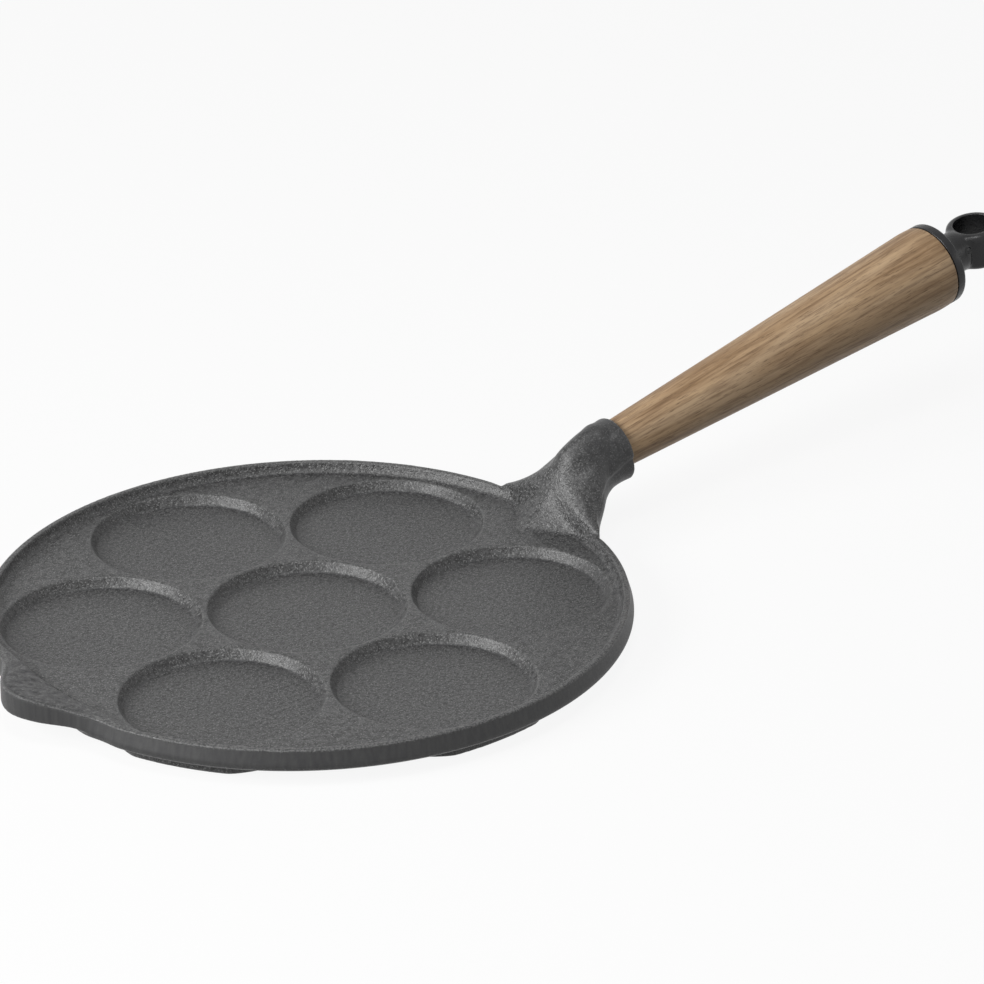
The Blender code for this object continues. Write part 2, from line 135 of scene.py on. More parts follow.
# Shares and stations of the neck, as in the construction
TOE_SHARES = (
    (0.00, 0.02, 0.02),
    (0.34, 0.13, 0.26),
    (0.60, 0.24, 0.46),
    (0.83, 0.38, 0.65),
)
RAMP_SHARES = (
    (0.00, 0.52, 1.00, 0.24, 0.20, 0.00),
    (0.08, 0.68, 0.92, 0.27, 0.22, 0.00),
    (0.16, 0.80, 0.80, 0.30, 0.27, 0.00),
    (0.23, 0.90, 0.72, 0.34, 0.42, 0.05),
    (0.38, 0.975, 0.59, 0.54, 0.81, 0.25),
    (0.49, 1.00, 0.48, 0.68, 0.96, 0.50),
    (0.62, 1.02, 0.385, 0.75, 1.01, 0.75),
)
BARREL_SHARES = (
    (0.33, 1.02, 0.90, 0.87),
    (0.58, 1.00, 0.905, 0.95),
    (0.83, 0.985, 0.965, 1.00),
)
RIDGE_ROUND_SHARE = 0.16
RIM_SIDE_SHARE = 4.2
COLLAR_SIDE_SHARE = 2.5

# Details of the neck, on its -Y side and mirrored: points on its surface
NECK_HOLLOW = ((0.1180, -0.0080, 0.0283), (0.1230, -0.0084, 0.0310), (0.1270, -0.0088, 0.0318))
NECK_HOLLOW_DEPTH = 0.0007
NECK_HOLLOW_REACH = 3.6 * MM
NECK_GROOVE = (
    (0.1350, -0.0059, 0.0382),
    (0.1336, -0.0076, 0.0356),
    (0.1329, -0.0090, 0.0323),
    (0.1325, -0.0101, 0.0287),
    (0.1316, -0.0106, 0.0263),
)
NECK_GROOVE_DEPTH = 0.0007
NECK_GROOVE_REACH = 1.7 * MM
NECK_PARTING = (
    (0.1455, -0.0111, 0.0306),
    (0.1400, -0.0103, 0.0278),
    (0.1370, -0.0099, 0.0257),
    (0.1330, -0.0106, 0.0243),
    (0.1293, -0.0121, 0.0240),
    (0.1243, -0.0153, 0.0221),
    (0.1207, -0.0179, 0.0188),
    (0.1171, -0.0211, 0.0158),
    (0.1137, -0.0262, 0.0139),
)
NECK_UNDERCUT = 0.0007
NECK_UNDERCUT_REACH = 3.2 * MM
NECK_UNDERCUT_DROP = 0.35 * MM
NECK_UNDERCUT_SOFTNESS = 0.2 * MM

# The neck is smoothed between these places on X, its foot line within a spread
NECK_SMOOTH_START = 0.100
NECK_SMOOTH_RUN = 0.006
NECK_SMOOTH_END = 0.1405
NECK_SMOOTH_FADE = 2 * MM
NECK_SMOOTH_RISE = 4 * MM
NECK_SMOOTH_ROUNDS = 8
FILLET_SPREAD = 2.8 * MM
FILLET_ROUNDS = 24
POLISH_START = 0.116
POLISH_RUN = 12 * MM
POLISH_SHARE = 0.9

# Lumps, line and crease of the lip's shelf
LIP_SHELF_INSET = 1.6 * MM
LIP_SHELF_DEEPEST = 7 * MM
LIP_SHELF_MIDDLE = 2 * MM
LIP_LUMP = 2.6 * MM
LIP_FINE_LUMP = 1.2 * MM
LIP_LUMP_HEIGHT_MM = 0.42
LIP_SINK_MM = 0.15
LIP_LINE_INSET = 2.1 * MM
LIP_LINE_WIDTH = 0.6 * MM
LIP_LINE_DEPTH = 0.0006
LIP_CREASE_PLACE = 0.3 * MM
LIP_CREASE_WIDTH = 0.5 * MM
LIP_CREASE_INSET = 2.5 * MM
LIP_CREASE_SHARE = 0.8
# Where and how strongly the lip's shelf gets painted shade, in dark mottles
LIP_SHADE_INSET = 2.4 * MM
LIP_SHADE_DROP = 6 * MM
LIP_SHADE_GAIN = 4.0

# The eye's boss, from the start of its stem
EYE_BOSS = (0.0098, -0.0079, 0.0025)
EYE_BOSS_RADIUS = 1.5 * MM
EYE_BOSS_HEIGHT_MM = 0.35
EYE_DIMPLE_RADIUS = 0.7 * MM
EYE_DIMPLE_DEPTH_MM = 0.6
EYE_BOSS_SOFTNESS = 0.12 * MM
EYE_BOSS_SIDE = -4 * MM
EYE_JOIN_REACH = 6 * MM
EYE_JOIN_ROUNDS = 70
EYE_HOLE_MARGIN = 0.3 * MM

# Fineness of the visible meshes
RIM_STEPS = 420
LIP_STEPS = 100
LIP_SWEEP = math.radians(28.0)
WELL_STEPS = 180
FOOT_STEPS = 120
TURNED_STEPS = 160
CORNER_STEPS = 8
COVE_STEPS = 8
HALF_SECTION_STEPS = 20
STATION_STEPS = 6
CASTING_VOXEL = 0.00045
EYE_VOXEL = 0.00028

# Camera, solved from the wells in the photograph
PHOTO_SIDE = 984
CAMERA_AZIMUTH = math.radians(-128.23)
CAMERA_ELEVATION = math.radians(25.40)
CAMERA_ROLL = math.radians(-0.73)
CAMERA_DISTANCE = 1.7242
CAMERA_TARGET = Vector((0.10909, 0.03138, 0.0097))
FOCAL_PIXELS = 4606.48
SENSOR_MM = 36.0

# Light
FLOOR_HALF_SIDE = 6.0
FLOOR_GREY = (0.30, 0.30, 0.30)
FLOOR_PALE = (0.90, 0.90, 0.90)
FLOOR_GLOW = 0.985
FLOOR_WHITE_SHARE = 0.92
WHITE_LEVEL = 0.98
ROOM_LEVEL = 0.07
LIGHT_TARGET = Vector((0.08, 0.0, 0.02))
# Name, azimuth and elevation in degrees, distance, width, height, watts
SOFTBOXES = (
    ("key", 172.0, 29.0, 1.6, 1.2, 0.7, 30.0),
    ("top", 224.0, 71.0, 1.5, 0.5, 0.5, 7.0),
    ("side", 318.0, 22.0, 1.5, 0.5, 0.5, 0.9),
)

PLATE_TOP = FOOT_HEIGHT + PLATE_THICKNESS
RIM_TOP = PLATE_TOP + RIM_RISE
AXIS_START = PLATE_TOP - HANDLE_AXIS_DROP
GRIP_START = COLLAR_DISTANCE - SOCKET_DEPTH + SEAT_GAP
WASHER_START = GRIP_END_DISTANCE + SEAT_GAP
EYE_START = WASHER_START + WASHER_THICKNESS + SEAT_GAP
BORE_RADIUS = ROD_RADIUS + SEAT_GAP


def mix(start, end, share):
    return start + (end - start) * share


def bump(place, half_width):
    """A smooth hump: 1 at the middle, 0 from half_width outwards."""
    if abs(place) >= half_width:
        return 0.0
    return math.cos(math.pi / 2 * place / half_width) ** 2


def arc(centre, radius, start, end, steps):
    """Points on a circle's arc in a profile plane, angles in degrees."""
    points = []
    for step in range(steps + 1):
        angle = math.radians(mix(start, end, step / steps))
        points.append((centre[0] + radius * math.cos(angle), centre[1] + radius * math.sin(angle)))
    return points


def join_rings(shape, rings, closed=False):
    """Skin a list of equal rings. Their ends are capped, or joined if closed."""
    rows = [[shape.verts.new(point) for point in ring] for ring in rings]
    count = len(rows[0])
    pairs = list(zip(rows, rows[1:]))
    if closed:
        pairs.append((rows[-1], rows[0]))
    for lower, upper in pairs:
        for step in range(count):
            after = (step + 1) % count
            shape.faces.new((lower[step], lower[after], upper[after], upper[step]))
    if not closed:
        shape.faces.new(rows[0])
        shape.faces.new(rows[-1])


def turned(shape, profile, steps, closed=False, upright=True, centre=(0.0, 0.0)):
    """Turn a profile of (radius, height) pairs about Z, or about X if not upright."""
    rings = []
    for radius, height in profile:
        ring = []
        for step in range(steps):
            angle = math.tau * step / steps
            across = radius * math.cos(angle)
            beside = radius * math.sin(angle)
            if upright:
                ring.append(Vector((centre[0] + across, centre[1] + beside, height)))
            else:
                ring.append(Vector((height, across, beside)))
        rings.append(ring)
    join_rings(shape, rings, closed)


def make_object(name, mesh_maker, sharp_degrees=35.0):
    """Turn the bmesh that mesh_maker fills into a smooth-shaded object."""
    shape = bmesh.new()
    mesh_maker(shape)
    bmesh.ops.recalc_face_normals(shape, faces=shape.faces[:])
    mesh = bpy.data.meshes.new(name)
    shape.to_mesh(mesh)
    shape.free()
    mesh.shade_smooth()
    mesh.set_sharp_from_angle(angle=math.radians(sharp_degrees))
    item = bpy.data.objects.new(name, mesh)
    bpy.context.scene.collection.objects.link(item)
    return item


def axis_matrix(distance):
    """A place on the handle's axis, with X along the handle."""
    along = Vector((math.cos(HANDLE_RISE), 0.0, math.sin(HANDLE_RISE)))
    turn = Matrix.Rotation(-HANDLE_RISE, 4, "Y")
    return Matrix.Translation(Vector((0.0, 0.0, AXIS_START)) + along * distance) @ turn


def cut(item, tool, operation="DIFFERENCE"):
    change = item.modifiers.new(tool.name, "BOOLEAN")
    change.object = tool
    change.operation = operation
    change.solver = "EXACT"


def settle(item):
    """Replace the object's mesh by what its modifiers make of it."""
    graph = bpy.context.evaluated_depsgraph_get()
    mesh = bpy.data.meshes.new_from_object(item.evaluated_get(graph))
    item.modifiers.clear()
    item.data = mesh


def discard(*tools):
    for tool in tools:
        bpy.data.objects.remove(tool, do_unlink=True)


def fuse(item, parts):
    """Join overlapping closed meshes into one object, ready to be skinned over."""
    shape = bmesh.new()
    shape.from_mesh(item.data)
    for part in parts:
        mesh = part.data.copy()
        mesh.transform(item.matrix_world.inverted() @ part.matrix_world)
        shape.from_mesh(mesh)
        bpy.data.meshes.remove(mesh)
    shape.to_mesh(item.data)
    shape.free()
    discard(*parts)


def skin_over(item, voxel):
    """Wrap the fused meshes in one even skin."""
    remesh = item.modifiers.new("skin", "REMESH")
    remesh.mode = "VOXEL"
    remesh.voxel_size = voxel
    settle(item)
    item.data.shade_smooth()


def mesh_points(mesh):
    points = np.empty(len(mesh.vertices) * 3, dtype=np.float32)
    mesh.vertices.foreach_get("co", points)
    return points.reshape(-1, 3).astype(float)


def mesh_normals(mesh):
    normals = np.empty(len(mesh.vertices) * 3, dtype=np.float32)
    mesh.vertices.foreach_get("normal", normals)
    return normals.reshape(-1, 3).astype(float)


def set_mesh_points(mesh, points):
    mesh.vertices.foreach_set("co", points.astype(np.float32).ravel())
    mesh.update()


def relax(mesh, weights, rounds):
    """Weighted smoothing: each point drifts towards the middle of its neighbours."""
    edges = np.empty(len(mesh.edges) * 2, dtype=np.int32)
    mesh.edges.foreach_get("vertices", edges)
    edges = edges.reshape(-1, 2)
    count = len(mesh.vertices)
    degree = np.bincount(edges.ravel(), minlength=count).astype(float)
    points = mesh_points(mesh)
    weights = weights[:, None]
    for _ in range(rounds):
        total = np.zeros_like(points)
        for axis in range(3):
            total[:, axis] = np.bincount(edges[:, 0], weights=points[edges[:, 1], axis], minlength=count)
            total[:, axis] += np.bincount(edges[:, 1], weights=points[edges[:, 0], axis], minlength=count)
        points += weights * (total / degree[:, None] - points)
    set_mesh_points(mesh, points)


# Casting


def rim_angles():
    angles = [math.pi + mix(-LIP_SWEEP, LIP_SWEEP, step / LIP_STEPS) for step in range(LIP_STEPS)]
    rest = math.tau - 2 * LIP_SWEEP
    start = math.pi + LIP_SWEEP
    angles += [start + rest * step / RIM_STEPS for step in range(RIM_STEPS)]
    return angles


def lip_foot_radius(turn):
    """Where the plate ends towards the lip, at an angle from the lip's middle."""
    round_foot = PAN_RADIUS - RIM_TOP_WIDTH - RIM_COVE_RUN
    if math.cos(turn) <= 0.0:
        return round_foot
    side = LIP_FOOT_DISTANCE * math.tan(turn)
    chord = LIP_FOOT_DISTANCE - LIP_FOOT_BOW * (side / LIP_FOOT_HALF_WIDTH) ** 2
    if abs(side) > 2 * LIP_FOOT_HALF_WIDTH:
        return round_foot
    return min(round_foot, chord / math.cos(turn))


def rim_profile(angle):
    """Section of the pan's edge at one angle, from the plate over the rim to the underside."""
    turn = math.remainder(angle - math.pi, math.tau)
    place = PAN_RADIUS * math.sin(turn) if math.cos(turn) > 0.0 else PAN_RADIUS
    near_neck = 0.0
    if math.cos(turn) < 0.0:
        near_neck = bump(PAN_RADIUS * math.sin(turn), NECK_RIM_DIP_HALF_WIDTH)
    reach = LIP_REACH * bump(place, LIP_HALF_WIDTH)
    dip = LIP_DIP * bump(abs(place) - LIP_DIP_PLACE, LIP_DIP_HALF_WIDTH)
    rise = bump(place, LIP_LIFT_HALF_WIDTH)
    skirt = bump(place, LIP_SKIRT_HALF_WIDTH)
    foot = lip_foot_radius(turn)
    outer = PAN_RADIUS + reach - dip
    top = RIM_TOP + LIP_LIFT * rise - NECK_RIM_DIP * near_neck
    cove_run = mix(RIM_COVE_RUN, LIP_SHOULDER_RUN, rise)
    cove_rise = mix(RIM_RISE, LIP_SHOULDER_RISE, rise) - NECK_RIM_DIP * near_neck
    belly = WALL_BELLY * (1 - skirt)
    wall = PAN_RADIUS - dip - LIP_UNDERCUT * rise
    shoulder = PLATE_TOP - mix(WALL_SHOULDER_DROP, LIP_UNDERSIDE_DROP, skirt)
    profile = []
    for step in range(COVE_STEPS + 1):
        share = step / COVE_STEPS
        profile.append((foot + cove_run * share, PLATE_TOP + cove_rise * mix(share, share ** 2, 1 - rise)))
    profile.append((outer - RIM_EDGE_ROUND, top))
    profile.append((outer, top - RIM_EDGE_ROUND))
    profile.append((outer + belly, PLATE_TOP - mix(WALL_SHOULDER_DROP / 2, LIP_SKIRT_DROP, skirt)))
    profile.append((wall + belly, shoulder))
    profile.append((wall + belly / 2, mix(shoulder, FOOT_HEIGHT, 0.5)))
    profile.append((wall - WALL_DRAW_IN, FOOT_HEIGHT))
    return profile


def fill_disc(shape):
    angles = rim_angles()
    columns = [rim_profile(angle) for angle in angles]
    rings = []
    for row in range(len(columns[0])):
        ring = []
        for angle, column in zip(angles, columns):
            radius, height = column[row]
            ring.append(Vector((radius * math.cos(angle), radius * math.sin(angle), height)))
        rings.append(ring)
    join_rings(shape, rings)


def well_places():
    places = [(0.0, 0.0)]
    for number in range(WELL_COUNT):
        angle = WELL_FIRST_ANGLE + math.tau * number / WELL_COUNT
        places.append((WELL_SPACING * math.cos(angle), WELL_SPACING * math.sin(angle)))
    return places


def foot_edge(centre, angle):
    """Distance from a foot's middle to its edge, which keeps inside a circle about the pan."""
    away = math.hypot(*centre)
    turn = angle - math.atan2(centre[1], centre[0])
    limit = PAN_RADIUS - FOOT_INSET
    inside = math.sqrt(limit ** 2 - (away * math.sin(turn)) ** 2) - away * math.cos(turn)
    return min(FOOT_RADIUS, inside)


def fill_feet(shape):
    heights = (
        (FOOT_EDGE_BEVEL, 0.0),
        (0.0, FOOT_EDGE_BEVEL),
        (0.0, mix(FOOT_HEIGHT, PLATE_TOP, 0.2)),
    )
    for centre in well_places():
        rings = []
        for inset, height in heights:
            ring = []
            for step in range(FOOT_STEPS):
                angle = math.tau * step / FOOT_STEPS
                radius = foot_edge(centre, angle) - inset
                place = (centre[0] + radius * math.cos(angle), centre[1] + radius * math.sin(angle), height)
                ring.append(Vector(place))
            rings.append(ring)
        join_rings(shape, rings)


def fill_wells(shape):
    floor = PLATE_TOP - WELL_DEPTH
    profile = [
        (WELL_FLOOR_RADIUS - WELL_FLOOR_ROUND, floor),
        (WELL_FLOOR_RADIUS, floor + WELL_FLOOR_ROUND / 2),
        (WELL_RADIUS - WELL_EDGE_ROUND / 3, PLATE_TOP - WELL_EDGE_ROUND),
        (WELL_RADIUS, PLATE_TOP - WELL_EDGE_ROUND / 3),
        (WELL_RADIUS + WELL_EDGE_ROUND / 2, PLATE_TOP),
        (WELL_RADIUS + WELL_EDGE_ROUND / 2, PLATE_TOP + CUT_OVERRUN),
    ]
    for place in well_places():
        turned(shape, profile, WELL_STEPS, centre=place)


def level_above_axis(height, base, tilt):
    """How far a world height lies above the handle's axis, along the leaning line."""
    return (height - AXIS_START - base * math.sin(HANDLE_RISE)) / math.cos(tilt)


def neck_stations():
    """The neck's sizes at each station, from its toe on the plate to the collar's face."""
    toe = (PAN_RADIUS - NECK_TOE_INSET) / math.cos(HANDLE_RISE)
    rim = (PAN_RADIUS - NECK_RIM_INSET) / math.cos(HANDLE_RISE)
    stations = []
    for run, crest, width in TOE_SHARES:
        base = mix(toe, rim, run)
        plate = level_above_axis(PLATE_TOP, base, 0.0)
        stations.append((base, 0.0, mix(plate, NECK_HUMP, crest), NECK_FOOT_HALF_WIDTH * width,
                         plate - NECK_ROOT / 4, plate - NECK_ROOT, 0.0))
    for run, crest, width, rise, under, roundness in RAMP_SHARES:
        base = mix(rim, COLLAR_DISTANCE, run)
        tilt = HANDLE_RISE * roundness
        plate = level_above_axis(PLATE_TOP, base, tilt)
        underside = level_above_axis(FOOT_HEIGHT, base, tilt)
        stations.append((base, tilt, mix(plate, NECK_HUMP, crest), NECK_FOOT_HALF_WIDTH * width,
                         mix(plate, 0.0, rise), mix(underside, -COLLAR_KEEL, under), roundness))
    waist = stations[-1][0]
    for run, crest, width, rise in BARREL_SHARES:
        base = mix(waist, COLLAR_DISTANCE, run)
        plate = level_above_axis(PLATE_TOP, base, HANDLE_RISE)
        stations.append((base, HANDLE_RISE, mix(plate, NECK_HUMP, crest), COLLAR_RADIUS * width,
                         mix(plate, 0.0, rise), -COLLAR_KEEL, 1.0))
    edge = COLLAR_EDGE_ROUND
    stations.append((COLLAR_DISTANCE - edge, HANDLE_RISE, COLLAR_RADIUS + edge / 2, COLLAR_RADIUS, 0.0,
                     -COLLAR_KEEL, 1.0))
    stations.append((COLLAR_DISTANCE, HANDLE_RISE, COLLAR_RADIUS, COLLAR_RADIUS - edge / 2, 0.0,
                     edge - COLLAR_KEEL, 1.0))
    return stations


def smooth_between(stations, steps):
    """More stations on smooth curves through the given ones, never past their neighbours."""
    table = np.array(stations)
    runs = table[:, 0]
    slopes = np.gradient(table, runs, axis=0)
    rises = np.diff(table, axis=0) / np.diff(runs)[:, None]
    for column in range(1, table.shape[1]):
        for row in range(len(runs)):
            near = rises[max(row - 1, 0):row + 1, column]
            if near.min() * near.max() <= 0.0:
                slopes[row, column] = 0.0
            else:
                limit = 2 * np.abs(near).min()
                slopes[row, column] = np.clip(slopes[row, column], -limit, limit)
    fine = []
    for row in range(len(runs) - 1):
        gap = runs[row + 1] - runs[row]
        for step in range(steps):
            t = step / steps
            start, end = table[row], table[row + 1]
            lead, tail = slopes[row] * gap, slopes[row + 1] * gap
            lead[0] = tail[0] = gap
            fine.append((2 * t ** 3 - 3 * t ** 2 + 1) * start + (t ** 3 - 2 * t ** 2 + t) * lead
                        + (3 * t ** 2 - 2 * t ** 3) * end + (t ** 3 - t ** 2) * tail)
    fine.append(table[-1])
    return fine


def neck_section(base, tilt, crest, half_width, edge, bottom, roundness):
    """One ring of the neck, with heights up a line from the axis that leans back by tilt."""
    along = base * math.cos(HANDLE_RISE)
    axis_height = AXIS_START + base * math.sin(HANDLE_RISE)
    power = mix(RIM_SIDE_SHARE, COLLAR_SIDE_SHARE, roundness)
    ridge = RIDGE_ROUND_SHARE
    upper = []
    lower = []
    for step in range(HALF_SECTION_STEPS + 1):
        turn = math.pi / 2 * step / HALF_SECTION_STEPS
        share = math.sin(turn)
        roof = (math.hypot(share, ridge) - ridge) / (math.hypot(1, ridge) - ridge)
        fall = mix(roof, 1 - math.cos(turn), roundness)
        upper.append((half_width * share, mix(crest, edge, fall)))
        side = max(math.cos(turn), 0.0) ** (2 / power)
        drop = math.sin(turn) ** (2 / power)
        lower.append((half_width * side, mix(edge, bottom, drop)))
    lower[-1] = (0.0, bottom)
    right = upper + lower[1:]
    left = [(-side, height) for side, height in reversed(right[1:-1])]
    lean, up = math.sin(tilt), math.cos(tilt)
    return [Vector((along - height * lean, side, axis_height + height * up)) for side, height in right + left]


def fill_neck(shape):
    stations = smooth_between(neck_stations(), STATION_STEPS)
    join_rings(shape, [neck_section(*station) for station in stations])


def fill_socket(shape):
    seat = COLLAR_DISTANCE - SOCKET_DEPTH
    profile = [
        (GRIP_FRONT_RADIUS + SEAT_GAP, COLLAR_DISTANCE + CUT_OVERRUN),
        (GRIP_FRONT_RADIUS + SEAT_GAP, seat),
        (BORE_RADIUS, seat),
        (BORE_RADIUS, COLLAR_DISTANCE - ROD_HOLE_DEPTH),
    ]
    turned(shape, profile, TURNED_STEPS, upright=False)


def foot_line_weights(points):
    """1 near the line where the neck's foot meets the plate, 0 from a little over FILLET_SPREAD away."""
    toe = np.array((PAN_RADIUS - NECK_TOE_INSET, 0.0))
    corner = np.array((PAN_RADIUS - NECK_RIM_INSET, NECK_FOOT_HALF_WIDTH))
    side = np.stack([points[:, 0], np.abs(points[:, 1])], axis=1) - toe
    line = corner - toe
    share = np.clip(side @ line / (line @ line), -0.02, 1.1)
    gap = np.linalg.norm(side - share[:, None] * line, axis=1)
    rise = np.abs(points[:, 2] - PLATE_TOP)
    near = np.clip(1.3 - gap / FILLET_SPREAD, 0.0, 1.0) * np.clip(1.6 - rise / FILLET_SPREAD, 0.0, 1.0)
    near[points[:, 2] < PLATE_TOP - 0.2 * MM] = 0.0
    return near


def neck_weights(points):
    """1 on the neck above the rim, fading out at the collar's face and the plate."""
    away = np.clip((points[:, 0] - NECK_SMOOTH_START) / NECK_SMOOTH_RUN, 0.0, 1.0)
    above = np.clip((points[:, 2] - RIM_TOP - 0.5 * MM) / NECK_SMOOTH_RISE, 0.0, 1.0)
    collar = np.clip((NECK_SMOOTH_END - points[:, 0]) / NECK_SMOOTH_FADE, 0.0, 1.0)
    return away * above * collar


def humps(places, half_width):
    """bump() for a whole array."""
    inside = np.abs(places) < half_width
    return np.where(inside, np.cos(np.pi / 2 * places / half_width) ** 2, 0.0)


def rim_measures(points):
    """How far each point lies inside the pan's outer edge and below its rim, and its share of lip."""
    radius = np.hypot(points[:, 0], points[:, 1]) + 1e-9
    forward = points[:, 0] < 0.0
    place = np.where(forward, PAN_RADIUS * points[:, 1] / radius, PAN_RADIUS)
    rise = humps(place, LIP_LIFT_HALF_WIDTH)
    reach = LIP_REACH * humps(place, LIP_HALF_WIDTH)
    dip = LIP_DIP * humps(np.abs(place) - LIP_DIP_PLACE, LIP_DIP_HALF_WIDTH)
    near_neck = np.where(forward, 0.0, humps(PAN_RADIUS * points[:, 1] / radius, NECK_RIM_DIP_HALF_WIDTH))
    inset = PAN_RADIUS + reach - dip - radius
    drop = RIM_TOP + LIP_LIFT * rise - NECK_RIM_DIP * near_neck - points[:, 2]
    return inset, drop, rise


def clear_of_neck(points):
    """0 where the neck stands on the rim, 1 from a little beside it."""
    beside = np.clip((np.abs(points[:, 1]) - NECK_FOOT_HALF_WIDTH - 0.5 * MM) / (5 * MM), 0.0, 1.0)
    return np.where(points[:, 0] > 0.0, beside, 1.0)


def path_gaps(points, path):
    """Distance of each point from a path, and the path's height beside it."""
    best = np.full(len(points), 1.0)
    level = np.zeros(len(points))
    path = np.array(path)
    for start, end in zip(path, path[1:]):
        line = end - start
        share = np.clip((points - start) @ line / (line @ line), 0.0, 1.0)
        near = start + share[:, None] * line
        gap = np.linalg.norm(points - near, axis=1)
        closer = gap < best
        best[closer] = gap[closer]
        level[closer] = near[closer, 2]
    return best, level


def press(points, normals, path, depth, reach):
    """Push the surface in along a path on either side of the handle, or out if depth is negative."""
    sides = points * np.array((1.0, -1.0, 1.0))
    sides[points[:, 1] < 0.0] = points[points[:, 1] < 0.0]
    gap, _ = path_gaps(sides, path)
    points -= normals * (depth * np.exp(-(gap / reach) ** 2))[:, None]


def carve_neck(mesh):
    """The hollow, the groove before the collar, and the parting line with its darker underside."""
    points, normals = mesh_points(mesh), mesh_normals(mesh)
    press(points, normals, NECK_HOLLOW, NECK_HOLLOW_DEPTH, NECK_HOLLOW_REACH)
    press(points, normals, NECK_GROOVE, NECK_GROOVE_DEPTH, NECK_GROOVE_REACH)
    sides = np.stack([points[:, 0], -np.abs(points[:, 1]), points[:, 2]], axis=1)
    gap, level = path_gaps(sides, NECK_PARTING)
    under = 1 / (1 + np.exp((points[:, 2] - level + NECK_UNDERCUT_DROP) / NECK_UNDERCUT_SOFTNESS))
    points -= normals * (NECK_UNDERCUT * under * np.exp(-(gap / NECK_UNDERCUT_REACH) ** 2))[:, None]
    set_mesh_points(mesh, points)


def beyond_lip_foot(points):
    """How far each point lies beyond the line where the lip's shelf leaves the plate."""
    side = LIP_FOOT_DISTANCE * np.abs(points[:, 1]) / np.maximum(np.abs(points[:, 0]), MM)
    return -points[:, 0] - LIP_FOOT_DISTANCE + LIP_FOOT_BOW * (side / LIP_FOOT_HALF_WIDTH) ** 2


def roughen_lip(mesh):
    """Coarser lumps of sand on the lip's shelf, and a dark line inside its lit edge."""
    points, normals = mesh_points(mesh), mesh_normals(mesh)
    inset, drop, rise = rim_measures(points)
    shelf = rise * np.clip((inset - LIP_SHELF_INSET) / MM, 0.0, 1.0)
    shelf *= np.clip((LIP_SHELF_DEEPEST - np.abs(drop - LIP_SHELF_MIDDLE)) / MM, 0.0, 1.0)
    foot = beyond_lip_foot(points)
    shelf *= np.clip(normals[:, 2], 0.0, 1.0) * np.clip(foot / MM, 0.0, 1.0)
    for index in np.nonzero(shelf > 0.02)[0]:
        place = Vector(points[index])
        wave = noise.noise(place / LIP_LUMP) + 0.5 * noise.noise(place / LIP_FINE_LUMP)
        points[index, 2] += shelf[index] * (LIP_LUMP_HEIGHT_MM * wave - LIP_SINK_MM) * MM
    front = np.clip(rise * 3, 0.0, 1.0) * (normals[:, 2] > 0.3)
    line = front * np.exp(-((inset - LIP_LINE_INSET) / LIP_LINE_WIDTH) ** 2)
    crease = front * np.exp(-((foot - LIP_CREASE_PLACE) / LIP_CREASE_WIDTH) ** 2) * (inset > LIP_CREASE_INSET)
    points[:, 2] -= LIP_LINE_DEPTH * line + LIP_CREASE_SHARE * LIP_LINE_DEPTH * crease
    set_mesh_points(mesh, points)


def convexity(mesh):
    """How strongly the surface bends outwards at each point, in metres of one step's sag."""
    edges = np.empty(len(mesh.edges) * 2, dtype=np.int32)
    mesh.edges.foreach_get("vertices", edges)
    edges = edges.reshape(-1, 2)
    points, normals = mesh_points(mesh), mesh_normals(mesh)
    count = len(points)
    degree = np.bincount(edges.ravel(), minlength=count).astype(float)
    middle = np.zeros_like(points)
    for axis in range(3):
        middle[:, axis] = np.bincount(edges[:, 0], weights=points[edges[:, 1], axis], minlength=count)
        middle[:, axis] += np.bincount(edges[:, 1], weights=points[edges[:, 0], axis], minlength=count)
    middle /= degree[:, None]
    sag = ((points - middle) * normals).sum(axis=1)
    around = np.bincount(edges[:, 0], weights=sag[edges[:, 1]], minlength=count)
    around += np.bincount(edges[:, 1], weights=sag[edges[:, 0]], minlength=count)
    return 0.5 * sag + 0.5 * around / degree


def mark(mesh, name, values):
    layer = mesh.attributes.new(name, "FLOAT", "POINT")
    layer.data.foreach_set("value", np.clip(values, 0.0, 1.0).astype(np.float32))


def mark_casting(mesh):
    """Where the casting was ground, where its neck is smoother and darker, where its edges get wear and a painted
    highlight, and where its creases and the lip's shelf get painted shade.
    """
    points, normals = mesh_points(mesh), mesh_normals(mesh)
    inset, drop, rise = rim_measures(points)
    clear = clear_of_neck(points)
    width = mix(RIM_TOP_WIDTH + 0.3 * MM, 1.1 * MM, rise)
    fade = 0.3 * MM
    top = np.clip((width - inset) / fade, 0.0, 1.0) * np.clip((0.9 * MM - drop) / fade, 0.0, 1.0)
    upward = np.clip((normals[:, 2] - 0.45) / 0.3, 0.0, 1.0)
    mark(mesh, "rim_top", top * upward * clear)
    level = np.clip((0.55 - np.abs(normals[:, 2])) / 0.2, 0.0, 1.0)
    low = np.clip((points[:, 2] - FOOT_HEIGHT) / (0.5 * MM), 0.0, 1.0)
    wall = np.clip((1.2 * MM - inset) / (0.4 * MM), 0.0, 1.0) * level * low
    mark(mesh, "outer_wall", wall * clear)
    # Painted shade on the lip's shelf, from a little inside its edge downwards
    shelf = rise * np.clip((inset - LIP_SHADE_INSET) / MM, 0.0, 1.0) * np.clip((LIP_SHADE_DROP - drop) / MM, 0.0, 1.0)
    mark(mesh, "shelf", LIP_SHADE_GAIN * shelf * np.clip(beyond_lip_foot(points) / MM, 0.0, 1.0))
    mark(mesh, "polish", POLISH_SHARE * np.clip((points[:, 0] - POLISH_START) / POLISH_RUN, 0.0, 1.0))
    bend = convexity(mesh)
    # Convex edges, marked to come out paler: worn metal and a painted edge highlight
    mark(mesh, "edge", (bend - 0.008 * MM) / (0.035 * MM))
    # Concave creases, marked for painted shade
    mark(mesh, "corner", (-bend - 0.006 * MM) / (0.03 * MM))


